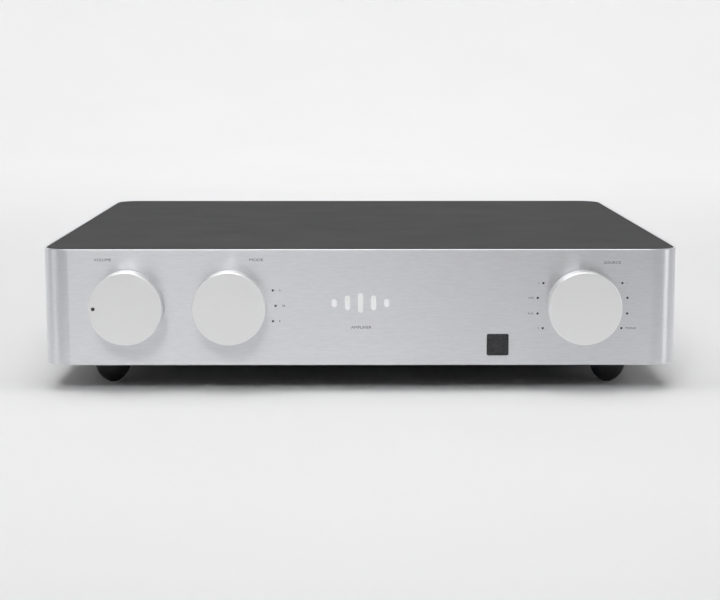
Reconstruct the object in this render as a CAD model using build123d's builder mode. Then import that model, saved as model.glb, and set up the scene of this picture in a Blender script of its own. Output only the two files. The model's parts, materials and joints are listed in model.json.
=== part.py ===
"""Integrated stereo amplifier: a low aluminium case with a flat dark lid, three large turned knobs, a small
display window, domed rubber feet and a recessed rear panel of connectors, built as an assembly of separate pieces.

Frame: +Z up, front of the case towards -Y, +X to the right of a person facing the front. The origin is on the
surface the feet stand on, under the middle of the whole bounding box. Millimetres."""

from build123d import *
import os
from math import cos, radians, sin

os.makedirs("parts", exist_ok=True)

# ---------------------------------------------------------------- driving dimensions
body_w = 420.0  # case width
body_d = 375.0  # case depth, front face to rear corners
panel_h = 77.0  # height of the aluminium walls
cover_t = 1.5  # lid sheet, let in flush with the walls
lid_inset = 1.3  # rim of aluminium left outside the lid
foot_h = 18.0
corner_r = 18.0  # vertical corners of the case, seen from above
front_t = 8.0  # front panel face
wall_t = 4.0  # side walls and returns
front_return = 45.0  # how far the front panel wraps round the sides
rear_return = 34.0  # how far the side panels wrap round the rear
seam = 0.2

knob_reach = 15.0  # knob face ahead of the front panel
post_reach = 23.0  # speaker posts behind the case
front_y = -(body_d + post_reach - knob_reach) / 2
rear_y = front_y + body_d
base_z = foot_h
top_z = base_z + panel_h
floor_t = 1.5
floor_z = base_z + floor_t  # top of the base plate
sub_y = front_y + front_t  # front face of the subframe
sub_t = 2.0
rear_t = 2.0
out_y = rear_y - wall_t  # outer face of the recessed rear panel

# controls on the front
knob_z = top_z - 37.3
volume_x, mode_x, source_x = -153.3, -85.9, 146.3
knob_r, knob_t, knob_gap = 24.0, 13.2, 1.8
shaft_r, shaft_gap = 3.0, 0.05
dial_r = 30.0  # circle of the indicator lights round a knob
light_r = 0.8
window_x, window_z, window_w = 90.7, 31.6, 14.6

# rear connectors
jack_x = [-166.0 + 17.5 * k for k in range(9)]
jack_rows = [68.0, 45.0]
post_x = {"right_red": 88.0, "right_black": 69.0, "left_red": 38.0, "left_black": 19.0}
post_z = 56.5
inlet_x, inlet_z = 150.0, 56.5
socket_z, drawer_z = 46.5, 72.0
switch_x, switch_z = 118.0, 56.5
rocker_tilt = 10.0

# inside
heat_y, heat_len = 25.0, 170.0
toroid_x, toroid_y = 0.0, -82.0
board_z, board_t = 30.0, 1.6


def xz(y):
    """Plane across the case at depth y: local x is X, local y is Z, and a positive extrusion runs to -Y."""
    return Plane.XZ.offset(-y)


def dial(cx, angles):
    return [(cx + dial_r * cos(radians(a)), knob_z + dial_r * sin(radians(a))) for a in angles]


source_lights = dial(source_x, [30, 10, -10, -30, 150, 170, 190, 210])
mode_lights = dial(mode_x, [20, 0, -20])
lights = source_lights + mode_lights
knobs = [(volume_x, knob_z), (mode_x, knob_z), (source_x, knob_z)]
panel_screws = [(x, z) for x in (-120.0, 0.0, 120.0) for z in (27.0, 82.0)]
wall_screws = [(y, 27.0) for y in (-115.0, -40.0, 35.0, 110.0)]
foot_xy = [(sx * 169.5, y) for sx in (-1, 1) for y in (front_y + 40.0, rear_y - 40.0)]
return_screws = [(sx * 183.0, z) for sx in (-1, 1) for z in (27.0, 56.5, 86.0)]
lip_screws = [(-128.0, 89.0), (0.0, 89.0), (128.0, 89.0)]
under_screws = [(x, y) for x in (-140.0, 0.0, 140.0) for y in (sub_y + 10.0, out_y - 10.0)]


def rebate():
    """Outline of the recess that the lid drops into."""
    with BuildSketch(Plane.XY.offset(top_z - cover_t)) as outline:
        with Locations((0, (front_y + rear_y) / 2)):
            RectangleRounded(body_w - 2 * lid_inset + 0.2, body_d - 2 * lid_inset + 0.2, corner_r - lid_inset + 0.1)
    return outline.sketch


def save(builder, name):
    builder.part.label = name
    export_step(builder.part, f"parts/{name}.step")


# ---------------------------------------------------------------- case
with BuildPart() as front_panel:
    with BuildSketch(Plane.XY.offset(base_z)) as plan:
        with Locations((0, front_y + front_return / 2)):
            Rectangle(body_w, front_return)
        fillet(plan.vertices().group_by(Axis.Y)[0], corner_r)
    extrude(amount=panel_h)
    with BuildSketch(Plane.XY.offset(base_z)) as hollow:
        with Locations((0, front_y + front_t + (front_return - front_t) / 2)):
            Rectangle(body_w - 2 * wall_t, front_return - front_t)
        fillet(hollow.vertices().group_by(Axis.Y)[0], corner_r - wall_t)
    extrude(amount=panel_h, mode=Mode.SUBTRACT)
    rim = front_panel.edges().filter_by(
        lambda e: (abs((e @ 0.5).Z - base_z) < 1e-3 or abs((e @ 0.5).Z - top_z) < 1e-3)
        and ((e @ 0.5).Y < front_y + 7 or abs((e @ 0.5).X) > body_w / 2 - 1)
    )
    chamfer(rim, 0.3)
    extrude(rebate(), amount=cover_t, mode=Mode.SUBTRACT)
    # shaft holes, with a pocket behind each for the bushing nut
    with BuildSketch(xz(front_y)):
        with Locations(*knobs):
            Circle(3.75)
    extrude(amount=-front_t, mode=Mode.SUBTRACT)
    with BuildSketch(xz(sub_y)):
        with Locations(*knobs):
            Circle(9)
        with Locations((window_x, window_z)):
            Rectangle(19, 19)
    extrude(amount=4.5, mode=Mode.SUBTRACT)
    with BuildSketch(xz(front_y)):
        with Locations((window_x, window_z)):
            RectangleRounded(window_w, window_w, 1.2)
        with Locations(*lights):
            Circle(light_r)
    extrude(amount=-front_t, mode=Mode.SUBTRACT)
    with BuildSketch(xz(sub_y)):
        with Locations(*panel_screws):
            Circle(1.55)
    extrude(amount=5.5, mode=Mode.SUBTRACT)
save(front_panel, "front_panel")

with BuildPart() as front_subframe:
    with BuildSketch(xz(sub_y)):
        with Locations((0, (floor_z + 93) / 2)):
            RectangleRounded(380, 93 - floor_z, 3)
    extrude(amount=-sub_t)
    with BuildSketch(Plane.XY.offset(floor_z)):
        with Locations((0, sub_y + 9)):
            Rectangle(374, 18)
    extrude(amount=2)
    with BuildSketch(xz(sub_y)):
        with Locations(*knobs):
            Circle(4.65)
        with Locations((window_x, window_z)):
            Rectangle(16, 16)
        with Locations(*lights):
            Circle(1.0)
        with Locations(*panel_screws):
            Circle(1.7)
    extrude(amount=-sub_t, mode=Mode.SUBTRACT)
    with BuildSketch(Plane.XY.offset(floor_z)):
        with Locations(*[(x, y) for x, y in under_screws if y < 0]):
            Circle(1.5)
    extrude(amount=2, mode=Mode.SUBTRACT)
save(front_subframe, "front_subframe")

side_len = body_d - front_return - seam
for side, sx in (("left", -1), ("right", 1)):
    with BuildPart() as side_panel:
        with BuildSketch(Plane.XY.offset(base_z)) as plan:
            with Locations((sx * (body_w - rear_return) / 2, rear_y - side_len / 2)):
                Rectangle(rear_return, side_len)
            fillet(plan.vertices().group_by(Axis.Y)[-1].sort_by(Axis.X)[-1 if sx > 0 else 0], corner_r)
        extrude(amount=panel_h)
        inner_w = rear_return - wall_t
        with BuildSketch(Plane.XY.offset(base_z)) as hollow:
            with Locations((sx * (body_w / 2 - wall_t - inner_w / 2), rear_y - wall_t - (side_len - wall_t) / 2)):
                Rectangle(inner_w, side_len - wall_t)
            fillet(hollow.vertices().group_by(Axis.Y)[-1].sort_by(Axis.X)[-1 if sx > 0 else 0], corner_r - wall_t)
        extrude(amount=panel_h, mode=Mode.SUBTRACT)
        extrude(rebate(), amount=cover_t, mode=Mode.SUBTRACT)
        # cooling slots beside the heat sink
        with BuildSketch(Plane.YZ.offset(sx * (body_w / 2 - wall_t / 2))):
            with Locations((heat_y, 56.5)):
                with GridLocations(8.5, 0, 20, 1):
                    SlotOverall(46, 3, rotation=90)
        extrude(amount=wall_t, both=True, mode=Mode.SUBTRACT)
        # tapped holes for the base flange
        with BuildSketch(Plane.YZ.offset(sx * (body_w / 2 - wall_t))):
            with Locations(*wall_screws):
                Circle(1.5)
        extrude(amount=sx * 2.8, mode=Mode.SUBTRACT)
        # clearance holes for the rear screws
        with BuildSketch(xz(rear_y)):
            with Locations(*[p for p in return_screws if p[0] * sx > 0]):
                Circle(1.6)
        extrude(amount=wall_t, mode=Mode.SUBTRACT)
    save(side_panel, f"{side}_side_panel")

with BuildPart() as base_plate:
    base_front, base_rear = sub_y + 0.2, out_y - rear_t - 0.2
    with BuildSketch(Plane.XY.offset(base_z)) as plan:
        with Locations((0, (base_front + base_rear) / 2)):
            Rectangle(body_w - 2 * wall_t - 0.4, base_rear - base_front)
        fillet(plan.vertices(), 15)
    extrude(amount=floor_t)
    flange_x = body_w / 2 - wall_t - 0.2
    with BuildSketch(Plane.XY.offset(base_z)):
        with Locations(*[(sx * (flange_x - 0.75), 0) for sx in (-1, 1)]):
            Rectangle(1.5, 270)
    extrude(amount=16)
    # studs that carry the circuit boards
    stud_xy = (
        [(sx * x, y) for sx in (-1, 1) for x in (84.0, 154.0) for y in (-54.0, 104.0)]
        + [(x, y) for x in (-54.0, 54.0) for y in (-6.0, 92.0)]
    )
    with BuildSketch(Plane.XY.offset(floor_z)):
        with Locations(*stud_xy):
            RegularPolygon(3.2, 6)
    extrude(amount=board_z - floor_z)
    with BuildSketch(Plane.XY.offset(floor_z)):
        with Locations(*stud_xy):
            Circle(1.3)
    extrude(amount=board_z - floor_z, mode=Mode.SUBTRACT)
    # cooling slots under the heat sinks, foot holes, transformer bolt hole
    with BuildSketch(Plane.XY.offset(base_z)):
        with Locations(*[(sx * 184.0, heat_y) for sx in (-1, 1)]):
            with GridLocations(0, 12, 1, 12):
                SlotOverall(26, 3)
        with Locations((0, 40)):
            with GridLocations(30, 12, 3, 6):
                SlotOverall(24, 3)
        with Locations(*foot_xy):
            Circle(2.2)
        with Locations((toroid_x, toroid_y)):
            Circle(4.2)
        with Locations(*under_screws):
            Circle(1.6)
    extrude(amount=floor_t, mode=Mode.SUBTRACT)
    with BuildSketch(Plane.YZ):
        with Locations(*wall_screws):
            Circle(1.6)
    extrude(amount=body_w / 2, both=True, mode=Mode.SUBTRACT)
save(base_plate, "base_plate")

with BuildPart() as rear_panel:
    with BuildSketch(xz(out_y)):
        with Locations((0, (base_z + 0.2 + top_z - cover_t - 0.1) / 2)):
            Rectangle(379, panel_h - cover_t - 0.3)
    extrude(amount=rear_t)
    with BuildSketch(Plane.XY.offset(floor_z)):
        with Locations((0, out_y - rear_t - 8)):
            Rectangle(360, 16)
    extrude(amount=1.5)
    with BuildSketch(xz(out_y)):
        with Locations(*[(x, z) for x in jack_x for z in jack_rows]):
            Circle(4.6)
        with Locations(*[(x, post_z) for x in post_x.values()]):
            Circle(5.0)
        with Locations((inlet_x, inlet_z)):
            Rectangle(28.4, 48.4)
        with Locations((switch_x, switch_z)):
            Rectangle(20.0, 28.0)
        with Locations(*return_screws):
            Circle(1.5)
        with Locations(*lip_screws):
            Circle(1.6)
    extrude(amount=rear_t, mode=Mode.SUBTRACT)
    with BuildSketch(Plane.XY.offset(floor_z)):
        with Locations(*[(x, y) for x, y in under_screws if y > 0]):
            Circle(1.5)
    extrude(amount=1.5, mode=Mode.SUBTRACT)
save(rear_panel, "rear_panel")

with BuildPart() as top_cover:
    with BuildSketch(Plane.XY.offset(top_z - cover_t)):
        with Locations((0, (front_y + rear_y) / 2)):
            RectangleRounded(body_w - 2 * lid_inset, body_d - 2 * lid_inset, corner_r - lid_inset)
    extrude(amount=cover_t)
    fillet(top_cover.faces().sort_by(Axis.Z)[-1].edges(), 0.3)
    # folded lips inside the front and the rear
    with BuildSketch(Plane.XY.offset(top_z - cover_t)):
        with Locations((0, sub_y + sub_t + 0.2 + 0.75)):
            Rectangle(340, 1.5)
    extrude(amount=-7.5)
    with BuildSketch(Plane.XY.offset(top_z - cover_t)):
        with Locations((0, out_y - rear_t - 0.2 - 0.75)):
            Rectangle(340, 1.5)
    extrude(amount=-10.5)
    with BuildSketch(xz(out_y - rear_t)):
        with Locations(*lip_screws):
            Circle(1.5)
    extrude(amount=4, mode=Mode.SUBTRACT)
save(top_cover, "top_cover")

# ---------------------------------------------------------------- feet
dome_r, dome_z = 12.0, 11.5  # where the dome meets the straight wall
flat_r = 3.0
with BuildPart() as foot:
    with BuildSketch(Plane.XZ):
        with BuildLine():
            Polyline((0, 0), (flat_r, 0))
            ThreePointArc((flat_r, 0), (8.6, 4.4), (dome_r, dome_z))
            Polyline((dome_r, dome_z), (dome_r, foot_h - 0.6), (dome_r - 0.6, foot_h), (2.05, foot_h), (2.05, 12), (7.05, 12), (7.05, 10.4), (0, 10.4), (0, 0))
        make_face()
    revolve(axis=Axis.Z)
with BuildPart() as feet:
    with Locations(*[(x, y, 0) for x, y in foot_xy]):
        add(foot.part)
save(feet, "feet")

with BuildPart() as foot_stud:
    with BuildSketch(Plane.XY.offset(10.4)):
        Circle(7.0)
    extrude(amount=1.6)
    with BuildSketch(Plane.XY.offset(12)):
        Circle(2.0)
    extrude(amount=13)
with BuildPart() as foot_nut:
    with BuildSketch(Plane.XY.offset(floor_z + 0.8)):
        RegularPolygon(4.04, 6)
        Circle(2.05, mode=Mode.SUBTRACT)
    extrude(amount=3.2)
    with BuildSketch(Plane.XY.offset(floor_z)):
        Circle(4.5)
        Circle(2.05, mode=Mode.SUBTRACT)
    extrude(amount=0.8)
with BuildPart() as foot_fasteners:
    with Locations(*[(x, y, 0) for x, y in foot_xy]):
        add(foot_stud.part)
        add(foot_nut.part)
save(foot_fasteners, "foot_fasteners")

# ---------------------------------------------------------------- case screws
with BuildPart() as screw:  # button head at z >= 0, shank down the -Z axis
    with BuildSketch():
        Circle(2.8)
    extrude(amount=1.6)
    fillet(screw.edges().sort_by(Axis.Z)[-1], 0.9)
    with BuildSketch(Plane.XY.offset(1.6)):
        RegularPolygon(1.15, 6)
    extrude(amount=-1.1, mode=Mode.SUBTRACT)
    with BuildSketch():
        Circle(1.45)
    extrude(amount=-5)
with BuildPart() as short_screw:
    with BuildSketch():
        Circle(2.6)
    extrude(amount=1.4)
    with BuildSketch(Plane.XY.offset(1.4)):
        RegularPolygon(1.15, 6)
    extrude(amount=-0.9, mode=Mode.SUBTRACT)
    with BuildSketch():
        Circle(1.45)
    extrude(amount=-3.2)
to_front = Plane((0, 0, 0), x_dir=(1, 0, 0), z_dir=(0, 1, 0)).location  # head towards +Y
with BuildPart() as case_screws:
    for x, z in panel_screws:
        with Locations(Location((x, sub_y + sub_t, z)) * to_front):
            add(screw.part)
    for x, z in return_screws:
        with Locations(Location((x, rear_y, z)) * to_front):
            add(screw.part)
    for x, z in lip_screws:
        with Locations(Location((x, out_y, z)) * to_front):
            add(short_screw.part)
    for x, y in under_screws:
        with Locations(Location((x, y, base_z), (180, 0, 0))):
            add(short_screw.part)
    for sx in (-1, 1):
        for y, z in wall_screws:
            inward = Plane((0, 0, 0), x_dir=(0, 1, 0), z_dir=(-sx, 0, 0)).location
            with Locations(Location((sx * (flange_x - 1.5), y, z)) * inward):
                add(short_screw.part)
save(case_screws, "case_screws")


# ---------------------------------------------------------------- front controls
def turned_knob(cx, dimple):
    with BuildPart() as knob:
        with BuildSketch(xz(front_y - knob_gap)):
            with Locations((cx, knob_z)):
                Circle(knob_r)
        extrude(amount=knob_t)
        fillet(knob.edges().group_by(Axis.Y)[0], 0.8)
        chamfer(knob.edges().group_by(Axis.Y)[-1], 0.4)
        with BuildSketch(xz(front_y - knob_gap)):
            with Locations((cx, knob_z)):
                Circle(20.5)
                Circle(7.5, mode=Mode.SUBTRACT)
        extrude(amount=9, mode=Mode.SUBTRACT)
        with BuildSketch(xz(front_y - knob_gap)):
            with Locations((cx, knob_z)):
                Circle(shaft_r + 0.03)
        extrude(amount=11, mode=Mode.SUBTRACT)
        if dimple:
            with BuildSketch(xz(front_y - knob_reach)):
                with Locations((cx - 20.6, knob_z)):
                    Circle(1.25)
            extrude(amount=-0.8, mode=Mode.SUBTRACT)
    return knob


volume_knob = turned_knob(volume_x, True)
mode_knob = turned_knob(mode_x, False)
source_knob = turned_knob(source_x, False)
save(volume_knob, "volume_knob")
save(mode_knob, "mode_knob")
save(source_knob, "source_knob")

with BuildPart() as volume_pointer:
    with BuildSketch(xz(front_y - knob_reach + 0.8)):
        with Locations((volume_x - 20.6, knob_z)):
            Circle(1.22)
    extrude(amount=0.72)
save(volume_pointer, "volume_pointer")

shaft_end = {"volume": 26.0, "mode": 15.0, "source": 15.0}  # depth of the shaft behind the front face
for name, cx in (("volume", volume_x), ("mode", mode_x), ("source", source_x)):
    with BuildPart() as shaft:
        with BuildSketch(xz(front_y - knob_gap - 10.5)):
            with Locations((cx, knob_z)):
                Circle(shaft_r)
        extrude(amount=-(knob_gap + 10.5 + shaft_end[name]))
        chamfer(shaft.edges().group_by(Axis.Y)[0], 0.5)
    save(shaft, f"{name}_shaft")

back_y = sub_y + sub_t  # rear face of the subframe
with BuildPart() as volume_potentiometer:
    with BuildSketch(xz(back_y)):
        with Locations((volume_x, knob_z)):
            Rectangle(28, 28)
    extrude(amount=-26)
    fillet(volume_potentiometer.edges().filter_by(Axis.Y), 2)
    with BuildSketch(xz(back_y + 26)):
        with Locations((volume_x, knob_z)):
            Circle(10)
    extrude(amount=-22)  # tuning motor
    with BuildSketch(xz(back_y)):
        with Locations((volume_x, knob_z)):
            Circle(4.5)
    extrude(amount=6)
    with BuildSketch(Plane.XY.offset(knob_z - 14)):
        with Locations((volume_x, back_y + 13)):
            with GridLocations(5, 16, 4, 2):
                Rectangle(1.2, 0.8)
    extrude(amount=-5)  # solder tags
    with BuildSketch(xz(back_y - 6)):
        with Locations((volume_x, knob_z)):
            Circle(shaft_r + shaft_gap)
    extrude(amount=-24, mode=Mode.SUBTRACT)
save(volume_potentiometer, "volume_potentiometer")

for name, cx in (("mode", mode_x), ("source", source_x)):
    with BuildPart() as encoder:
        with BuildSketch(xz(back_y)):
            with Locations((cx, knob_z)):
                RectangleRounded(15, 15, 1)
        extrude(amount=-9)
        with BuildSketch(xz(back_y)):
            with Locations((cx, knob_z)):
                Circle(4.5)
        extrude(amount=6)
        with BuildSketch(xz(back_y + 9)):
            with Locations((cx, knob_z - 5)):
                with GridLocations(4, 10, 3, 1):
                    Rectangle(0.9, 0.6)
        extrude(amount=-3)
        with BuildSketch(xz(back_y - 6)):
            with Locations((cx, knob_z)):
                Circle(shaft_r + shaft_gap)
        extrude(amount=-12, mode=Mode.SUBTRACT)
    save(encoder, f"{name}_encoder")

with BuildPart() as bushing_nuts:
    with BuildSketch(xz(sub_y - 0.8)):
        with Locations(*knobs):
            RegularPolygon(7.4, 6)
            Circle(4.55, mode=Mode.SUBTRACT)
    extrude(amount=2.4)
    with BuildSketch(xz(sub_y)):
        with Locations(*knobs):
            Circle(8)
            Circle(4.55, mode=Mode.SUBTRACT)
    extrude(amount=0.75)
save(bushing_nuts, "bushing_nuts")

with BuildPart() as display_window:
    with BuildSketch(xz(sub_y - 2.3)):
        with Locations((window_x, window_z)):
            Rectangle(18.4, 18.4)
    extrude(amount=2.2)
    with BuildSketch(xz(sub_y - 4.5)):
        with Locations((window_x, window_z)):
            RectangleRounded(window_w - 0.2, window_w - 0.2, 1.1)
    extrude(amount=front_t - 4.5 - 0.25)
    fillet(display_window.faces().sort_by(Axis.Y)[0].edges(), 0.25)
save(display_window, "display_window")

board_y = back_y + 12  # front face of the control board
with BuildPart() as display_module:  # dot-matrix indicator and infrared receiver
    with BuildSketch(xz(sub_y - 2.2)):
        with Locations((window_x, window_z)):
            Rectangle(13.5, 13.5)
    extrude(amount=-(board_y - sub_y + 2.2))
    with BuildSketch(xz(sub_y - 2.2)):
        with Locations((window_x, window_z)):
            with GridLocations(2.4, 2.4, 5, 5):
                Circle(0.85)
    extrude(amount=-0.4, mode=Mode.SUBTRACT)
save(display_module, "display_module")

with BuildPart() as light_pipes:
    with BuildSketch(xz(front_y - 0.12)):
        with Locations(*lights):
            Circle(light_r - 0.04)
    extrude(amount=-(board_y - front_y - 1.5))
    fillet(light_pipes.edges().group_by(Axis.Y)[0], 0.1)
save(light_pipes, "light_pipes")

with BuildPart() as control_board:
    with BuildSketch(xz(board_y)):
        with Locations((30, 55)):
            Rectangle(310, 56)
        with Locations((mode_x, knob_z - 5), (source_x, knob_z - 5)):
            with GridLocations(4, 10, 3, 1):
                Rectangle(1.5, 1.2, mode=Mode.SUBTRACT)
    extrude(amount=-board_t)
    with BuildSketch(xz(board_y + board_t)):
        with Locations((40, 60), (100, 58)):
            Rectangle(14, 14)
        with Locations((0, 40), (70, 70)):
            Rectangle(9, 20)
    extrude(amount=-2)
save(control_board, "control_board")

with BuildPart() as ribbon_cable:
    near, far = board_y + board_t, out_y - 15.6
    with BuildSketch(Plane.YZ.offset(-75)):
        with BuildLine():
            FilletPolyline((near, 40), (near + 8, 40), (near + 8, 22), (far - 8, 22), (far - 8, 40), (far, 40), radius=3)
            FilletPolyline((near, 41), (near + 9, 41), (near + 9, 23), (far - 9, 23), (far - 9, 41), (far, 41), radius=3)
            Line((near, 40), (near, 41))
            Line((far, 40), (far, 41))
        make_face()
    extrude(amount=12)
save(ribbon_cable, "ribbon_cable")

# ---------------------------------------------------------------- power supply
with BuildPart() as toroidal_transformer:
    with BuildSketch(Plane.XZ.offset(-toroid_y)):
        with Locations((toroid_x + 39, floor_z + 3 + 25)):
            RectangleRounded(42, 50, 12)
    revolve(axis=Axis((toroid_x, toroid_y, 0), (0, 0, 1)))
save(toroidal_transformer, "toroidal_transformer")

with BuildPart() as transformer_pads:
    with BuildSketch(Plane.XY.offset(floor_z)):
        with Locations((toroid_x, toroid_y)):
            Circle(56)
            Circle(8, mode=Mode.SUBTRACT)
    extrude(amount=3)
    with BuildSketch(Plane.XY.offset(floor_z + 53)):
        with Locations((toroid_x, toroid_y)):
            Circle(46)
            Circle(22, mode=Mode.SUBTRACT)
    extrude(amount=2)
save(transformer_pads, "transformer_pads")

with BuildPart() as transformer_clamp_plate:
    with BuildSketch(Plane.XZ.offset(-toroid_y)):
        with BuildLine():
            z0 = floor_z + 55
            Polyline((4.2, z0 - 4), (14, z0 - 4), (20, z0), (45, z0), (45, z0 + 1.5), (19.4, z0 + 1.5), (13.4, z0 - 2.5), (4.2, z0 - 2.5), (4.2, z0 - 4))
        make_face()
    revolve(axis=Axis((0, toroid_y, 0), (0, 0, 1)))
save(transformer_clamp_plate, "transformer_clamp_plate")

with BuildPart() as transformer_bolt:
    with BuildSketch(Plane.XY.offset(base_z)):
        with Locations((toroid_x, toroid_y)):
            Circle(6.5)
    extrude(amount=-2.5)
    with BuildSketch(Plane.XY.offset(base_z - 2.5)):
        with Locations((toroid_x, toroid_y)):
            RegularPolygon(2.9, 6)
    extrude(amount=1.6, mode=Mode.SUBTRACT)
    with BuildSketch(Plane.XY.offset(base_z)):
        with Locations((toroid_x, toroid_y)):
            Circle(4.0)
    extrude(amount=63)
    with BuildSketch(Plane.XY.offset(floor_z + 52.5)):
        with Locations((toroid_x, toroid_y)):
            RegularPolygon(7.5, 6)
            Circle(4.05, mode=Mode.SUBTRACT)
    extrude(amount=6.4)
save(transformer_bolt, "transformer_bolt")

with BuildPart() as power_supply_board:
    with BuildSketch(Plane.XY.offset(board_z)):
        with Locations((0, 43)):
            RectangleRounded(120, 110, 2)
        with Locations(*[(x, y) for x in (-54.0, 54.0) for y in (-6.0, 92.0)]):
            Circle(1.6, mode=Mode.SUBTRACT)
    extrude(amount=board_t)
save(power_supply_board, "power_supply_board")

with BuildPart() as filter_capacitors:
    with BuildSketch(Plane.XY.offset(board_z + board_t)):
        with Locations((0, 28)):
            with GridLocations(40, 40, 2, 2):
                Circle(17.5)
    extrude(amount=45)
    fillet(filter_capacitors.edges().group_by(Axis.Z)[-1], 1.2)
save(filter_capacitors, "filter_capacitors")

with BuildPart() as bridge_rectifier:
    with BuildSketch(Plane.XY.offset(board_z + board_t)):
        with Locations((0, 79.5)):
            Rectangle(28, 28)
            Circle(2.6, mode=Mode.SUBTRACT)
    extrude(amount=10)
    chamfer(bridge_rectifier.edges().filter_by(Axis.Z).group_by(Axis.X)[-1], 3)
save(bridge_rectifier, "bridge_rectifier")

# mains inlet with its fuse drawer above the socket
flange_out = out_y + 3.0
with BuildPart() as mains_inlet:
    with BuildSketch(xz(out_y)):
        with Locations((inlet_x, inlet_z)):
            RectangleRounded(32, 60, 2)
    extrude(amount=-3)
    fillet(mains_inlet.faces().sort_by(Axis.Y)[-1].edges(), 0.6)
    with BuildSketch(xz(out_y)):
        with Locations((inlet_x, inlet_z)):
            Rectangle(28, 48)
    extrude(amount=22)
    with BuildSketch(xz(flange_out)) as mouth:
        with Locations((inlet_x, socket_z)):
            Rectangle(24.4, 16.6)
        chamfer(mouth.vertices().group_by(Axis.Y)[-1], 4)
    extrude(amount=17, mode=Mode.SUBTRACT)
    with BuildSketch(xz(flange_out)):
        with Locations((inlet_x, drawer_z)):
            Rectangle(24.4, 9.4)
    extrude(amount=22, mode=Mode.SUBTRACT)
    with BuildSketch(xz(flange_out - 17)):
        with Locations((inlet_x, socket_z + 2)):
            Rectangle(2.2, 4.2)
        with Locations((inlet_x - 7, socket_z - 2), (inlet_x + 7, socket_z - 2)):
            Rectangle(2.2, 4.2)
    extrude(amount=8, mode=Mode.SUBTRACT)
save(mains_inlet, "mains_inlet")

with BuildPart() as inlet_pins:
    with BuildSketch(xz(flange_out - 5.5)):
        with Locations((inlet_x, socket_z + 2)):
            Rectangle(2.1, 4.1)
        with Locations((inlet_x - 7, socket_z - 2), (inlet_x + 7, socket_z - 2)):
            Rectangle(2.1, 4.1)
    extrude(amount=26)
    chamfer(inlet_pins.faces().group_by(Axis.Y)[-1].edges(), 0.5)
save(inlet_pins, "inlet_pins")

with BuildPart() as fuse_drawer:
    with BuildSketch(xz(flange_out - 21)):
        with Locations((inlet_x, drawer_z)):
            Rectangle(24, 9)
    extrude(amount=-21)
    with BuildSketch(xz(flange_out + 0.1)):
        with Locations((inlet_x, drawer_z)):
            RectangleRounded(26.5, 11, 1)
    extrude(amount=-1.8)
    with BuildSketch(xz(flange_out + 1.9)):
        with Locations((inlet_x, drawer_z + 3.6)):
            Rectangle(10, 1.6)
    extrude(amount=1.2, mode=Mode.SUBTRACT)  # nail slot
    with BuildSketch(Plane.XY.offset(drawer_z + 4.5)):
        with Locations((inlet_x, flange_out - 13)):
            Rectangle(21.4, 6.4)
    extrude(amount=-7, mode=Mode.SUBTRACT)
    with BuildSketch(xz(flange_out + 0.1)):
        with Locations((inlet_x, drawer_z)):
            Rectangle(24, 9)
    extrude(amount=0.2)
save(fuse_drawer, "fuse_drawer")

with BuildPart() as mains_fuse:
    with BuildSketch(Plane.YZ.offset(inlet_x - 10)):
        with Locations((flange_out - 13, drawer_z + 0.2)):
            Circle(2.6)
    extrude(amount=20)
save(mains_fuse, "mains_fuse")

# power switch: a housing and a rocker on two side pins
pivot_y = out_y - 5.0
with BuildPart() as power_switch_body:
    with BuildSketch(xz(out_y)):
        with Locations((switch_x, switch_z)):
            RectangleRounded(23, 31, 1.5)
    extrude(amount=-2)
    fillet(power_switch_body.faces().sort_by(Axis.Y)[-1].edges(), 0.6)
    with BuildSketch(xz(out_y)):
        with Locations((switch_x, switch_z)):
            Rectangle(19.6, 27.6)
    extrude(amount=24)
    with BuildSketch(xz(out_y + 2)):
        with Locations((switch_x, switch_z)):
            Rectangle(16, 24.4)
    extrude(amount=19, mode=Mode.SUBTRACT)
    with BuildSketch(Plane.YZ.offset(switch_x)):
        with Locations((pivot_y, switch_z)):
            Circle(1.55)
    extrude(amount=9, both=True, mode=Mode.SUBTRACT)
    with BuildSketch(xz(out_y - 24)):
        with Locations((switch_x, switch_z)):
            with GridLocations(10, 14, 2, 2):
                Rectangle(0.8, 5)
    extrude(amount=8)
save(power_switch_body, "power_switch_body")

with BuildPart() as power_rocker:
    with BuildSketch(Plane.YZ.offset(switch_x - 7.7)):
        with Locations((pivot_y, switch_z)):
            Circle(11.9)
        with Locations((pivot_y - 10, switch_z)):
            Rectangle(16, 30, mode=Mode.SUBTRACT)
        with BuildLine():
            Polyline(
                (pivot_y + 14, switch_z - 14),
                (pivot_y + 9.2 + 0.35, switch_z - 14),
                (pivot_y + 6.6, switch_z),
                (pivot_y + 9.2 + 0.35, switch_z + 14),
                (pivot_y + 14, switch_z + 14),
                (pivot_y + 14, switch_z - 14),
            )
        make_face(mode=Mode.SUBTRACT)
    extrude(amount=15.4)
    with BuildSketch(Plane.YZ.offset(switch_x)):
        with Locations((pivot_y, switch_z)):
            Circle(3.0)
    extrude(amount=7.7, both=True)
    with BuildSketch(Plane.YZ.offset(switch_x)):
        with Locations((pivot_y, switch_z)):
            Circle(1.5)
    extrude(amount=8.8, both=True)
rocker_axis = Axis((switch_x, pivot_y, switch_z), (1, 0, 0))
power_rocker.part = power_rocker.part.rotate(rocker_axis, -rocker_tilt)
save(power_rocker, "power_rocker")

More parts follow.
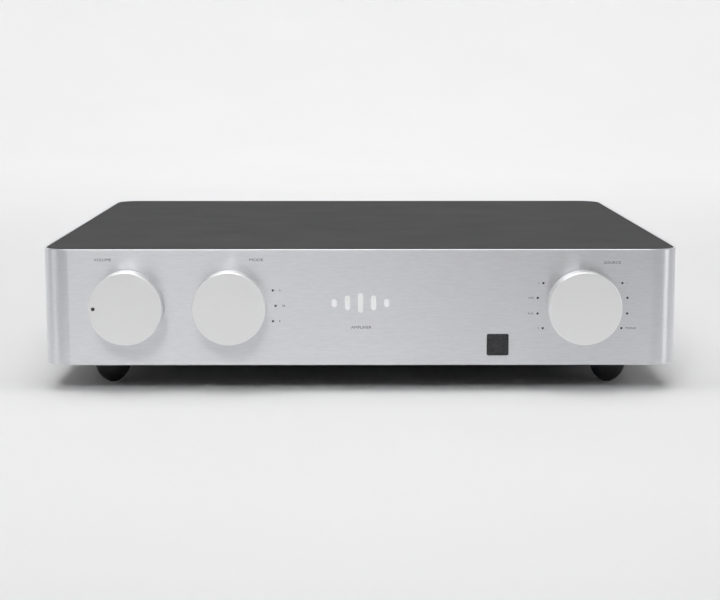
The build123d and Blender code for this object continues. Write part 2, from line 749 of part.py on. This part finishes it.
# ---------------------------------------------------------------- amplifier channels
for side, sx in (("left", -1), ("right", 1)):
    with BuildPart() as heatsink:
        with BuildSketch(Plane.XY.offset(floor_z + 1)):
            with Locations((sx * 168, heat_y)):
                Rectangle(6, heat_len)
            with Locations((sx * 186, heat_y)):
                with GridLocations(0, 8.4, 1, 21):
                    Rectangle(31, 2)
        extrude(amount=62)
        with BuildSketch(Plane.XY.offset(floor_z)):
            with Locations(*[(sx * 168, heat_y + d) for d in (-70, 70)]):
                Rectangle(6, 20)
        extrude(amount=1)
    save(heatsink, f"{side}_heatsink")

    with BuildPart() as amp_board:
        with BuildSketch(Plane.XY.offset(board_z)):
            with Locations((sx * 119, heat_y)):
                RectangleRounded(82, 170, 2)
            with Locations(*[(sx * x, y) for x in (84.0, 154.0) for y in (-54.0, 104.0)]):
                Circle(1.6, mode=Mode.SUBTRACT)
        extrude(amount=board_t)
        with BuildSketch(Plane.XY.offset(board_z + board_t)):
            with Locations((sx * 105, heat_y)):
                with GridLocations(0, 34, 1, 4):
                    Circle(8)
        extrude(amount=26)
        with BuildSketch(Plane.XY.offset(board_z + board_t)):
            with Locations((sx * 128, heat_y - 50), (sx * 128, heat_y + 50)):
                Rectangle(15, 19)
        extrude(amount=16)
    save(amp_board, f"{side}_amp_board")

with BuildPart() as power_transistors:
    with BuildSketch(Plane.XY.offset(38)):
        with Locations(*[(sx * 162.5, heat_y) for sx in (-1, 1)]):
            with GridLocations(0, 34, 1, 4):
                Rectangle(5, 15.6)
    extrude(amount=20)
    with BuildSketch(Plane.XY.offset(board_z + board_t)):
        with Locations(*[(sx * 161.5, heat_y + d) for sx in (-1, 1) for d in (-51, -17, 17, 51)]):
            with GridLocations(0, 5.4, 1, 3):
                Rectangle(0.8, 1.2)
    extrude(amount=38 - board_z - board_t)
save(power_transistors, "power_transistors")

# ---------------------------------------------------------------- rear signal connectors
with BuildPart() as input_board:
    with BuildSketch(xz(out_y - 10.1)):
        with Locations((-96, 56)):
            Rectangle(164, 52)
    extrude(amount=board_t)
save(input_board, "input_board")

with BuildPart() as input_relays:
    with BuildSketch(xz(out_y - 10.1 - board_t)):
        with Locations(*[(x, 72.0) for x in jack_x if x != jack_x[5]]):
            Rectangle(10, 15)
    extrude(amount=9)
    with BuildSketch(xz(out_y - 10.1 - board_t)):
        with Locations((-69, 40)):
            Rectangle(16, 6)
    extrude(amount=out_y - 10.1 - board_t - far)  # ribbon header
save(input_relays, "input_relays")


def ring(points, where):
    """Turned piece: points are (radius, depth beyond the rear panel's outer face), turned about its own Y axis."""
    with BuildPart() as turned:
        with BuildSketch(Plane.XY):
            with BuildLine():
                Polyline(*[(r, out_y + d) for r, d in points + points[:1]])
            make_face()
        revolve(axis=Axis.Y)
    with BuildPart() as placed:
        with Locations(*[(x, 0, z) for x, z in where]):
            add(turned.part)
    return placed


jacks = [(x, z) for x in jack_x for z in jack_rows]
sleeves = ring([(3.45, -8), (4.0, -8), (4.0, 1.5), (5.6, 1.5), (5.6, 3.2), (4.15, 3.2), (4.15, 10.7), (3.95, 11), (3.45, 11)], jacks)
save(sleeves, "phono_shells")
with BuildPart() as phono_nuts:
    with BuildSketch(xz(out_y - rear_t - 0.6)):
        with Locations(*jacks):
            RegularPolygon(6.0, 6)
            Circle(4.05, mode=Mode.SUBTRACT)
    extrude(amount=2.2)
save(phono_nuts, "phono_nuts")
collars = ring([(4.05, -1.9), (4.5, -1.9), (4.5, 0), (6.4, 0), (6.4, 1.2), (6.1, 1.5), (4.05, 1.5)], jacks)
cores = ring([(2.12, -8), (3.4, -8), (3.4, 4), (2.12, 4)], jacks)
with BuildPart() as phono_insulators:
    add(collars.part)
    add(cores.part)
save(phono_insulators, "phono_insulators")
phono_contacts = ring([(1.65, -10), (2.1, -10), (2.1, 8), (1.9, 8.3), (1.65, 8.3)], jacks)
save(phono_contacts, "phono_contacts")

# ---------------------------------------------------------------- speaker posts
posts = [(x, post_z) for x in post_x.values()]
stud_r, banana_r = 3.5, 2.0
flange_d = 5.0  # insulating base, beyond the panel
washer_d = wall_t + 1.25  # depth of the clamp washer beyond the panel
post_insulators = ring([(3.55, -rear_t), (4.9, -rear_t), (4.9, 0), (8.6, 0), (8.6, flange_d - 0.8), (7.8, flange_d), (3.55, flange_d)], posts)
save(post_insulators, "post_insulators")
stud_tip = wall_t + post_reach - 1.5
with BuildPart() as post_studs:
    for x, z in posts:
        with BuildSketch(xz(out_y - 16)):
            with Locations((x, z)):
                Circle(stud_r)
        extrude(amount=-(16 + stud_tip))
        with BuildSketch(xz(out_y + stud_tip)):
            with Locations((x, z)):
                Circle(banana_r)
        extrude(amount=15, mode=Mode.SUBTRACT)
        with BuildSketch(xz(out_y - rear_t - 1.1)):
            with Locations((x, z)):
                RegularPolygon(6.4, 6)
                Circle(stud_r, mode=Mode.SUBTRACT)
        extrude(amount=4)
    # wire holes across the studs, just outside the bases
    for x, z in posts:
        with BuildSketch(Plane.XY.offset(z)):
            with Locations((x, out_y + flange_d + 2.6)):
                Circle(1.5)
        extrude(amount=stud_r + 1, both=True, mode=Mode.SUBTRACT)
save(post_studs, "post_studs")

for name, x in post_x.items():
    with BuildPart() as washer:
        with BuildSketch(xz(out_y + flange_d + 0.1)):
            with Locations((x, post_z)):
                Circle(6.6)
                Circle(stud_r + 0.08, mode=Mode.SUBTRACT)
        extrude(amount=-1.2)
    save(washer, f"{name}_clamp_washer")
    with BuildPart() as nut:
        with BuildSketch(xz(out_y + flange_d + 1.4)):
            with Locations((x, post_z)):
                Circle(7.2)
        extrude(amount=-(wall_t + post_reach - flange_d - 1.4))
        chamfer(nut.edges().group_by(Axis.Y)[0], 0.5)
        fillet(nut.edges().group_by(Axis.Y)[-1], 1.0)
        with BuildSketch(xz(out_y + flange_d + 4.5)):
            with Locations((x, post_z)):
                with PolarLocations(7.9, 12):
                    Circle(1.3)
        extrude(amount=-(wall_t + post_reach - flange_d), mode=Mode.SUBTRACT)
        with BuildSketch(xz(out_y)):
            with Locations((x, post_z)):
                Circle(stud_r + 0.08)
        extrude(amount=-(wall_t + post_reach + 1), mode=Mode.SUBTRACT)
    save(nut, f"{name}_thumb_nut")
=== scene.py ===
"""Looks for the integrated amplifier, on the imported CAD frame. Units are metres; front of the case towards -Y."""

import json
import math
import random

import bmesh
import bpy
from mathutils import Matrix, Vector


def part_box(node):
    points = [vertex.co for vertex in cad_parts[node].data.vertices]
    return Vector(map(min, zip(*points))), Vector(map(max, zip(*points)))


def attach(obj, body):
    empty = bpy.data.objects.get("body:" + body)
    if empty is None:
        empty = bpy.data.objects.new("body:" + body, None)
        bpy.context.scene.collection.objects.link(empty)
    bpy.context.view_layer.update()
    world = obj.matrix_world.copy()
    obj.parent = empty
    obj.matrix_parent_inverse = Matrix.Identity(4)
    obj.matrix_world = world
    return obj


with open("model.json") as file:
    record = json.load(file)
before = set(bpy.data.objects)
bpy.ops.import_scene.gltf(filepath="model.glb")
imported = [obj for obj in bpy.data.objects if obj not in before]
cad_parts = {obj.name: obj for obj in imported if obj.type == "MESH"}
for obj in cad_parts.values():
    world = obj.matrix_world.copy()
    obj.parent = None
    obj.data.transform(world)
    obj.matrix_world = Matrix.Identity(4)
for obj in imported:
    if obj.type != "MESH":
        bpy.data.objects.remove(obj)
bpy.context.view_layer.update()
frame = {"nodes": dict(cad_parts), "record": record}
random.seed(7)
MM = 0.001


# ---------------------------------------------------------------- materials
class Mat:
    """A small helper that builds one procedural material on object coordinates."""

    def __init__(self, name, base, metallic=0.0, rough=0.5, **sockets):
        self.m = bpy.data.materials.new(name)
        self.m.use_nodes = True
        self.t = self.m.node_tree
        self.b = self.t.nodes["Principled BSDF"]
        self.b.inputs["Base Color"].default_value = (*base, 1)
        self.b.inputs["Metallic"].default_value = metallic
        self.b.inputs["Roughness"].default_value = rough
        for k, v in sockets.items():
            self.b.inputs[k.replace("_", " ")].default_value = v
        self.base = base
        self.coord = self.t.nodes.new("ShaderNodeTexCoord").outputs["Object"]
        self.bumps = []

    def node(self, kind, **inputs):
        n = self.t.nodes.new(kind)
        for k, v in inputs.items():
            n.inputs[k].default_value = v
        return n

    def link(self, a, b):
        self.t.links.new(a, b)

    def stretched(self, scale, vec=None):
        n = self.node("ShaderNodeMapping", Scale=scale)
        self.link(vec or self.coord, n.inputs["Vector"])
        return n.outputs["Vector"]

    def noise(self, scale, detail=4.0, stretch=(1, 1, 1), rough=0.5):
        n = self.node("ShaderNodeTexNoise", Scale=scale, Detail=detail, Roughness=rough)
        self.link(self.stretched(stretch), n.inputs["Vector"])
        return n.outputs["Fac"]

    def ramp(self, fac, lo, hi, a=0.0, b=1.0):
        n = self.node("ShaderNodeMapRange", **{"From Min": a, "From Max": b, "To Min": lo, "To Max": hi})
        self.link(fac, n.inputs["Value"])
        return n.outputs["Result"]

    def tint(self, fac, c0, c1, a=0.35, b=0.65):
        n = self.t.nodes.new("ShaderNodeValToRGB")
        n.color_ramp.elements[0].position, n.color_ramp.elements[1].position = a, b
        n.color_ramp.elements[0].color, n.color_ramp.elements[1].color = (*c0, 1), (*c1, 1)
        self.link(fac, n.inputs["Fac"])
        self.link(n.outputs["Color"], self.b.inputs["Base Color"])
        return self

    def rough(self, fac, lo, hi):
        """Roughness between lo and hi over the middle of the noise, with no clamped edge."""
        mid, half = (lo + hi) / 2, (hi - lo) * 1.25
        self.link(self.ramp(fac, max(0.02, mid - half), mid + half), self.b.inputs["Roughness"])
        return self

    def bump(self, fac, strength, distance):
        n = self.node("ShaderNodeBump", Strength=strength, Distance=distance)
        self.link(fac, n.inputs["Height"])
        if self.bumps:
            self.link(self.bumps[-1], n.inputs["Normal"])
        self.bumps.append(n.outputs["Normal"])
        self.link(n.outputs["Normal"], self.b.inputs["Normal"])
        return self


def shade(c, k):
    return tuple(min(1.0, v * k) for v in c)


def satin(name, base, rough, grain=(1, 1, 14), depth=0.00001, metallic=1.0, brushed=0.0):
    m = Mat(name, base, metallic, rough, Anisotropic=brushed, Anisotropic_Rotation=0.25)
    if brushed:
        along = m.t.nodes.new("ShaderNodeTangent")
        along.direction_type = "RADIAL"
        along.axis = "Z"
        m.link(along.outputs["Tangent"], m.b.inputs["Tangent"])
    streaks = m.noise(170, 3, grain)
    m.tint(streaks, shade(base, 0.965), shade(base, 1.03))
    m.rough(m.noise(9, 3), rough - 0.008, rough + 0.010)
    m.bump(m.noise(1500, 1), 0.05, depth)
    m.bump(streaks, 0.04, depth)
    return m.m


def moulded(name, base, rough=0.55, depth=0.00002, scale=1600, vary=0.12):
    m = Mat(name, base, 0, rough)
    n = m.noise(scale, 3)
    m.tint(m.noise(22, 3), shade(base, 1 - vary), shade(base, 1 + vary))
    m.rough(m.noise(35, 3), rough - 0.06, rough + 0.08)
    m.bump(n, 0.25, depth)
    return m.m


def powder(name, base, rough=0.62):
    m = Mat(name, base, 0, rough, Specular_IOR_Level=0.2)
    m.tint(m.noise(14, 3), shade(base, 0.97), shade(base, 1.03))
    v = m.node("ShaderNodeTexVoronoi", Scale=1500)
    m.link(m.coord, v.inputs["Vector"])
    m.rough(m.noise(20, 3), rough - 0.04, rough + 0.05)
    m.bump(v.outputs["Distance"], 0.22, 0.00004)
    return m.m


def steel(name, base, rough=0.32, tint=None):
    m = Mat(name, base, 1.0, rough)
    n = m.noise(160, 4, (1, 1, 8))
    m.tint(n, shade(base, 0.93), tint or shade(base, 1.06))
    m.rough(m.noise(60, 3), rough - 0.06, rough + 0.1)
    m.bump(m.noise(2200, 2), 0.12, 0.00001)
    return m.m


def board_mat(name):
    m = Mat(name, (0.01, 0.085, 0.035), 0, 0.35)
    brick = m.node("ShaderNodeTexBrick", Scale=160)
    m.link(m.coord, brick.inputs["Vector"])
    m.tint(m.noise(240, 2), (0.006, 0.06, 0.024), (0.014, 0.11, 0.045))
    m.bump(brick.outputs["Fac"], 0.3, 0.00003)
    return m.m


ALU = (0.76, 0.765, 0.785)
MATS = {
    "satin_aluminium": satin("satin_aluminium", ALU, 0.30, brushed=0.86),
    "lid_paint": powder("lid_paint", (0.055, 0.055, 0.055), 0.85),
    "chassis_paint": powder("chassis_paint", (0.018, 0.018, 0.019), 0.55),
    "zinc_steel": steel("zinc_steel", (0.52, 0.53, 0.52), 0.36),
    "black_screws": steel("black_screws", (0.035, 0.035, 0.036), 0.38),
    "foot_rubber": moulded("foot_rubber", (0.012, 0.012, 0.012), 0.62, 0.00004),
    "pad_rubber": moulded("pad_rubber", (0.02, 0.02, 0.02), 0.8, 0.00006),
    "dark_marker": moulded("dark_marker", (0.03, 0.03, 0.033), 0.3),
    "module_plastic": moulded("module_plastic", (0.02, 0.02, 0.02), 0.5),
    "circuit_board": board_mat("circuit_board"),
    "ribbon": moulded("ribbon", (0.35, 0.35, 0.36), 0.45),
    "relay_plastic": moulded("relay_plastic", (0.012, 0.02, 0.06), 0.3),
    "inlet_plastic": moulded("inlet_plastic", (0.014, 0.014, 0.014), 0.48),
    "inlet_metal": steel("inlet_metal", (0.72, 0.71, 0.66), 0.22),
    "rocker_plastic": moulded("rocker_plastic", (0.016, 0.016, 0.016), 0.28),
    "black_anodised": satin("black_anodised", (0.02, 0.02, 0.021), 0.42, (60, 60, 4)),
    "gold_plate": steel("gold_plate", (0.92, 0.62, 0.24), 0.2),
    "insulator_plastic": moulded("insulator_plastic", (0.018, 0.018, 0.018), 0.45),
    "red_cap": moulded("red_cap", (0.42, 0.012, 0.01), 0.3),
    "black_cap": moulded("black_cap", (0.014, 0.014, 0.014), 0.3),
}


def smoked():
    m = Mat("smoked_window", (0.012, 0.012, 0.014), 0, 0.07)
    m.tint(m.noise(500, 2), (0.010, 0.010, 0.012), (0.016, 0.016, 0.018))
    m.rough(m.noise(120, 2), 0.05, 0.10)
    return m.m


def winding():
    m = Mat("winding", (0.5, 0.33, 0.06), 0, 0.28)
    x = m.node("ShaderNodeSeparateXYZ")
    m.link(m.coord, x.inputs["Vector"])
    ang = m.node("ShaderNodeMath")
    ang.operation = "ARCTAN2"
    off = m.node("ShaderNodeMath")
    off.operation = "ADD"
    off.inputs[1].default_value = 0.082
    m.link(x.outputs["Y"], off.inputs[0])
    m.link(off.outputs[0], ang.inputs[0])
    m.link(x.outputs["X"], ang.inputs[1])
    mul = m.node("ShaderNodeMath")
    mul.operation = "MULTIPLY"
    mul.inputs[1].default_value = 60.0
    m.link(ang.outputs[0], mul.inputs[0])
    sn = m.node("ShaderNodeMath")
    sn.operation = "SINE"
    m.link(mul.outputs[0], sn.inputs[0])
    m.tint(sn.outputs[0], (0.42, 0.26, 0.04), (0.58, 0.40, 0.09), 0.0, 1.0)
    m.bump(sn.outputs[0], 0.5, 0.0003)
    return m.m


def sleeve():
    m = Mat("capacitor_sleeve", (0.015, 0.018, 0.05), 0, 0.3)
    z = m.node("ShaderNodeSeparateXYZ")
    m.link(m.coord, z.inputs["Vector"])
    top = m.ramp(z.outputs["Z"], 0, 1, 0.0763, 0.0764)
    m.tint(top, (0.012, 0.014, 0.035), (0.55, 0.55, 0.56), 0.4, 0.6)
    m.link(top, m.b.inputs["Metallic"])
    m.bump(m.noise(300, 2), 0.1, 0.0001)
    return m.m


def fuse_glass():
    m = Mat("fuse_glass", (0.85, 0.87, 0.86), 0, 0.08, Alpha=0.55)
    x = m.node("ShaderNodeSeparateXYZ")
    m.link(m.coord, x.inputs["Vector"])
    far = m.node("ShaderNodeMath")
    far.operation = "SUBTRACT"
    far.inputs[1].default_value = 0.150
    m.link(x.outputs["X"], far.inputs[0])
    ab = m.node("ShaderNodeMath")
    ab.operation = "ABSOLUTE"
    m.link(far.outputs[0], ab.inputs[0])
    cap = m.ramp(ab.outputs[0], 0, 1, 0.0049, 0.0051)
    m.tint(cap, (0.85, 0.87, 0.86), (0.7, 0.7, 0.66), 0.4, 0.6)
    m.link(cap, m.b.inputs["Metallic"])
    m.link(m.ramp(cap, 0.5, 1.0), m.b.inputs["Alpha"])
    m.bump(m.noise(400, 2), 0.05, 0.00005)
    return m.m


MATS["smoked_window"] = smoked()
MATS["winding"] = winding()
MATS["capacitor_sleeve"] = sleeve()
MATS["fuse_glass"] = fuse_glass()


def turned(name, cx, cz, base=(0.95, 0.95, 0.95), rough=0.46):
    """Aluminium with fine turning marks round the knob's own axis."""
    m = Mat(name, base, 1.0, rough)
    off = m.node("ShaderNodeMapping", Location=(-cx, 0, -cz))
    m.link(m.coord, off.inputs["Vector"])
    flat = m.node("ShaderNodeMapping", Scale=(1, 0, 1))
    m.link(off.outputs["Vector"], flat.inputs["Vector"])
    ln = m.t.nodes.new("ShaderNodeVectorMath")
    ln.operation = "LENGTH"
    m.link(flat.outputs["Vector"], ln.inputs[0])
    rings = m.node("ShaderNodeTexNoise", Scale=5200, Detail=3)
    rings.noise_dimensions = "1D"
    m.link(ln.outputs["Value"], rings.inputs["W"])
    m.tint(rings.outputs["Fac"], shade(base, 0.985), shade(base, 1.012))
    m.rough(m.noise(12, 3), rough - 0.02, rough + 0.03)
    m.bump(rings.outputs["Fac"], 0.10, 0.00001)
    m.bump(m.noise(2600, 2), 0.05, 0.00001)
    return m.m


record = frame["record"]
slot_of = {s["node"]: s["material_slot"] for s in record["subparts"]}
for node, o in frame["nodes"].items():
    s = slot_of[node]
    if s == "knob_aluminium":
        lo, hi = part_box(node)
        mat = turned(f"turned_{node}", (lo.x + hi.x) / 2, (lo.z + hi.z) / 2)
    else:
        mat = MATS[s]
    o.data.materials.clear()
    o.data.materials.append(mat)
    for p in o.data.polygons:
        p.material_index = 0

# ---------------------------------------------------------------- places from the frame
front_lo, front_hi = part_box("front_panel")
front_y = front_lo.y
lid_lo, lid_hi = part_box("top_cover")
rear_lo, rear_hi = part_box("rear_panel")
out_y = rear_hi.y


def centre(node):
    lo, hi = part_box(node)
    return (lo + hi) / 2


# ---------------------------------------------------------------- printed marks
def ink(name, base, rough=0.5):
    m = Mat(name, base, 0, rough)
    m.tint(m.noise(900, 2), shade(base, 0.9), shade(base, 1.06))
    m.bump(m.noise(3000, 2), 0.2, 0.000005)
    return m.m


def polished_mark():
    m = Mat("polished_mark", (0.97, 0.97, 0.975), 1.0, 0.12)
    m.tint(m.noise(700, 2), (0.95, 0.95, 0.955), (0.98, 0.98, 0.985))
    m.rough(m.noise(300, 2), 0.10, 0.15)
    m.bump(m.noise(1800, 2), 0.04, 0.000005)
    return m.m


INK_DARK = ink("ink_dark", (0.06, 0.06, 0.065))
MARK = polished_mark()
INK_BLACK = ink("ink_black", (0.006, 0.006, 0.007), 0.5)
INK_BLACK.node_tree.nodes["Principled BSDF"].inputs["Specular IOR Level"].default_value = 0.1
INK_PALE = ink("ink_pale", (0.62, 0.62, 0.62))


def label(name, text, x, z, size, mat, where="front", y=None, align="CENTER", body="case", thick=0.00003, squeeze=1.0, bold=0.0):
    """Printed word, facing -Y on the front or +Y on the rear."""
    c = bpy.data.curves.new(name, "FONT")
    c.body = text
    c.size = size
    c.align_x = align
    c.align_y = "CENTER"
    c.extrude = thick / 2
    c.offset = size * bold
    c.resolution_u = 3
    o = bpy.data.objects.new(name, c)
    bpy.context.collection.objects.link(o)
    o.scale = (squeeze, 1, 1)
    if where == "front":
        o.location = (x, (front_y if y is None else y) - thick / 2, z)
        o.rotation_euler = (math.pi / 2, 0, 0)
    else:
        o.location = (x, (out_y if y is None else y) + thick / 2, z)
        o.rotation_euler = (math.pi / 2, 0, math.pi)
    bpy.context.view_layer.update()
    me = bpy.data.meshes.new_from_object(o.evaluated_get(bpy.context.evaluated_depsgraph_get()))
    me.transform(o.matrix_world)
    bpy.data.objects.remove(o)
    solid = bpy.data.objects.new(name, me)
    bpy.context.collection.objects.link(solid)
    me.materials.clear()
    me.materials.append(mat)
    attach(solid, body)
    return solid


def mesh_object(name, bm, mat, body, smooth=False):
    me = bpy.data.meshes.new(name)
    bm.to_mesh(me)
    bm.free()
    me.materials.append(mat)
    if smooth:
        for p in me.polygons:
            p.use_smooth = True
    o = bpy.data.objects.new(name, me)
    bpy.context.collection.objects.link(o)
    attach(o, body)
    return o


def bars(name, rects, y0, y1, mat, body, r=0.0):
    """Flat printed shapes: rectangles (x, z, w, h) between two depths, with rounded ends if r is set."""
    bm = bmesh.new()
    for x, z, w, h in rects:
        pts = []
        rr = min(r, w / 2 - 1e-6, h / 2 - 1e-6)
        if rr <= 0:
            pts = [(x - w / 2, z - h / 2), (x + w / 2, z - h / 2), (x + w / 2, z + h / 2), (x - w / 2, z + h / 2)]
        else:
            for qx, qz, a0 in ((1, -1, -90), (1, 1, 0), (-1, 1, 90), (-1, -1, 180)):
                for k in range(7):
                    a = math.radians(a0 + 15 * k)
                    pts.append((x + qx * (w / 2 - rr) + rr * math.cos(a), z + qz * (h / 2 - rr) + rr * math.sin(a)))
        ends = [[bm.verts.new((px, yy, pz)) for px, pz in pts] for yy in (y0, y1)]
        bm.faces.new(ends[0])
        bm.faces.new(list(reversed(ends[1])))
        n = len(pts)
        for i in range(n):
            j = (i + 1) % n
            bm.faces.new((ends[0][j], ends[0][i], ends[1][i], ends[1][j]))
    bmesh.ops.recalc_face_normals(bm, faces=bm.faces)
    return mesh_object(name, bm, mat, body)


vol, mode, src, win = (centre(n) for n in ("volume_knob", "mode_knob", "source_knob", "display_window"))
# generic mark: five upright bars, and one plain word below it
bars(
    "front_mark",
    [(-0.0172 + 0.0086 * k, 0.0596, 0.0034, h) for k, h in enumerate((0.0056, 0.0098, 0.0132, 0.0098, 0.0056))],
    front_y - 0.00006, front_y - 0.000005, MARK, "case", 0.0017,
)
win_lo, win_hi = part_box("display_window")
win_w = win_hi.x - win_lo.x
bars(
    "window_border",
    [(win.x, win_hi.z - 0.0008, win_w - 0.0006, 0.0010), (win.x, win_lo.z + 0.0008, win_w - 0.0006, 0.0010), (win_lo.x + 0.0008, win.z, 0.0010, win_w - 0.0026), (win_hi.x - 0.0008, win.z, 0.0010, win_w - 0.0026)],
    win_lo.y - 0.00004, win_lo.y - 0.000005, INK_BLACK, "case",
)
label("front_word", "AMPLIFIER", 0.0005, 0.0432, 0.0026, INK_DARK, squeeze=1.15)
label("volume_word", "VOLUME", -0.1692, 0.0881, 0.0026, INK_DARK, squeeze=1.12)
label("mode_word", "MODE", -0.0684, 0.0881, 0.0026, INK_DARK, squeeze=1.25)
label("source_word", "SOURCE", 0.1655, 0.0862, 0.0023, INK_DARK, squeeze=1.3, bold=0.0)
dial_r = 0.030
for i, (a, word) in enumerate(((30, "1"), (10, ""), (-10, ""), (-30, "PHONES"), (150, "2"), (170, "LINE"), (190, "AUX"), (210, "3"))):
    if not word:
        continue
    side = 1 if abs(a) < 90 else -1
    label(f"source_label_{i}", word, src.x + dial_r * math.cos(math.radians(a)) + side * 0.0026, src.z + dial_r * math.sin(math.radians(a)), 0.0019, INK_DARK, align="LEFT" if side > 0 else "RIGHT")
for i, (a, word) in enumerate(((20, "A"), (0, "AB"), (-20, "B"))):
    label(f"mode_label_{i}", word, mode.x + dial_r * math.cos(math.radians(a)) + 0.0040, mode.z + dial_r * math.sin(math.radians(a)), 0.0019, INK_DARK, align="LEFT")

# ---------------------------------------------------------------- rear print
jacks = sorted({round((p["pos_m"][0]), 5) for p in record["mounts"] if p["name"].startswith("phono_socket")})
rows = sorted({round((p["pos_m"][2]), 5) for p in record["mounts"] if p["name"].startswith("phono_socket")})
for i, x in enumerate(jacks):
    word = ("PHONO", "CD", "TUNER", "AUX 1", "AUX 2", "TAPE IN", "TAPE OUT", "PRE OUT", "MAIN IN")[len(jacks) - 1 - i]
    label(f"rear_input_{i}", word, x, rows[1] + 0.0108, 0.0026, INK_PALE, "rear")
for z, word in ((rows[1], "L"), (rows[0], "R")):
    label(f"rear_row_{word}", word, jacks[-1] + 0.0115, z, 0.0042, INK_PALE, "rear")
posts = {m["name"][:-14]: m["pos_m"] for m in record["mounts"] if m["name"].endswith("_banana_socket")}
for side in ("left", "right"):
    xs = [p[0] for n, p in posts.items() if n.startswith(side)]
    z = [p[2] for n, p in posts.items() if n.startswith(side)][0]
    label(f"rear_speaker_{side}", side.upper(), sum(xs) / 2, z + 0.0160, 0.0034, INK_PALE, "rear")
    for n, p in posts.items():
        if n.startswith(side):
            label(f"rear_sign_{n}", "+" if n.endswith("red") else "-", p[0], z - 0.0178, 0.0048, INK_PALE, "rear")
label("rear_speakers", "SPEAKERS", sum(p[0] for p in posts.values()) / 4, 0.0800, 0.0036, INK_PALE, "rear")
label("rear_power", "POWER", centre("power_switch_body").x, 0.0775, 0.0030, INK_PALE, "rear")
xs = [p[0] for p in posts.values()]
bars(
    "rear_rules",
    [((jacks[0] + jacks[-1]) / 2, 0.0310, jacks[-1] - jacks[0] + 0.012, 0.0004), (sum(xs) / 4, 0.0310, 0.100, 0.0004), ((jacks[-1] + min(xs)) / 2 - 0.002, 0.0565, 0.0004, 0.048)],
    out_y + 0.000005, out_y + 0.00004, INK_PALE, "case",
)

# ---------------------------------------------------------------- stage
def stage_bowl():
    """Round pale floor that sweeps up into a wall on every side."""
    prof = [(0.35 * k, 0.0) for k in range(1, 7)] + [(2.2, 0.0)]
    for k in range(1, 19):
        a = math.radians(5 * k)
        prof.append((2.2 + 2.0 * math.sin(a), 2.0 - 2.0 * math.cos(a)))
    prof.append((4.2, 4.2))
    n = 96
    bm = bmesh.new()
    hub = bm.verts.new((0, 0, 0))
    rings = [[bm.verts.new((r * math.cos(2 * math.pi * i / n), r * math.sin(2 * math.pi * i / n), z)) for i in range(n)] for r, z in prof]
    for i in range(n):
        bm.faces.new((hub, rings[0][i], rings[0][(i + 1) % n]))
        for a, b in zip(rings, rings[1:]):
            bm.faces.new((a[i], b[i], b[(i + 1) % n], a[(i + 1) % n]))
    me = bpy.data.meshes.new("floor")
    bm.to_mesh(me)
    bm.free()
    o = bpy.data.objects.new("floor", me)
    bpy.context.collection.objects.link(o)
    m = Mat("floor_paper", (0.86, 0.86, 0.865), 0, 0.9)
    m.tint(m.noise(3, 2), (0.855, 0.855, 0.86), (0.865, 0.865, 0.87))
    me.materials.append(m.m)
    for p in me.polygons:
        p.use_smooth = True


stage_bowl()


def area(name, loc, target, size, power, size_y=None, color=(1, 1, 1), spread=180):
    l = bpy.data.lights.new(name, "AREA")
    l.energy = power
    l.color = color
    l.shape = "RECTANGLE"
    l.size = size
    l.size_y = size_y or size
    l.spread = math.radians(spread)
    o = bpy.data.objects.new(name, l)
    bpy.context.collection.objects.link(o)
    o.location = loc
    o.rotation_euler = (Vector(target) - Vector(loc)).to_track_quat("-Z", "Y").to_euler()
    return o


area("rim_left", (-1.4, 0.5, 0.45), (-0.2, -0.1, 0.05), 0.22, 0.655, 0.6)
area("front_soft", (-0.3, -1.9, 1.5), (0, -0.26, 0), 0.9, 0.6942, 0.4, spread=36)
area("floor_back", (0, 1.0, 2.4), (0, 1.2, 0), 3.0, 10.5, 1.0, spread=110)
area("side_left", (-2.3, -0.6, 1.0), (0, -0.1, 0.05), 0.8, 5.97, 1.0)
area("key_near", (-0.1, -0.45, 1.5), (-0.1, -0.45, 0), 1.6, 11.59, 1.0)
area("side_right", (2.3, -0.6, 1.0), (0, -0.1, 0.05), 0.8, 11.85, 1.0)
area("backdrop_wash", (0, 1.8, 2.6), (0, 4.2, 0.9), 5.0, 71, 0.8)

world = bpy.data.worlds.new("studio")
bpy.context.scene.world = world
world.use_nodes = True
world.node_tree.nodes["Background"].inputs["Color"].default_value = (0.98, 0.99, 1, 1)
world.node_tree.nodes["Background"].inputs["Strength"].default_value = 0.01
bpy.context.scene.view_settings.view_transform = "Standard"

# ---------------------------------------------------------------- camera
cam = bpy.data.cameras.new("camera")
cam.sensor_width = 36
cam.lens = 82.544
cam.clip_start, cam.clip_end = 0.01, 50
co = bpy.data.objects.new("camera", cam)
bpy.context.collection.objects.link(co)
co.location = (-0.00461, -1.26686, 0.21885)
co.rotation_euler = (math.radians(90 - 8.3216), 0, -math.radians(0.2286))
bpy.context.scene.camera = co
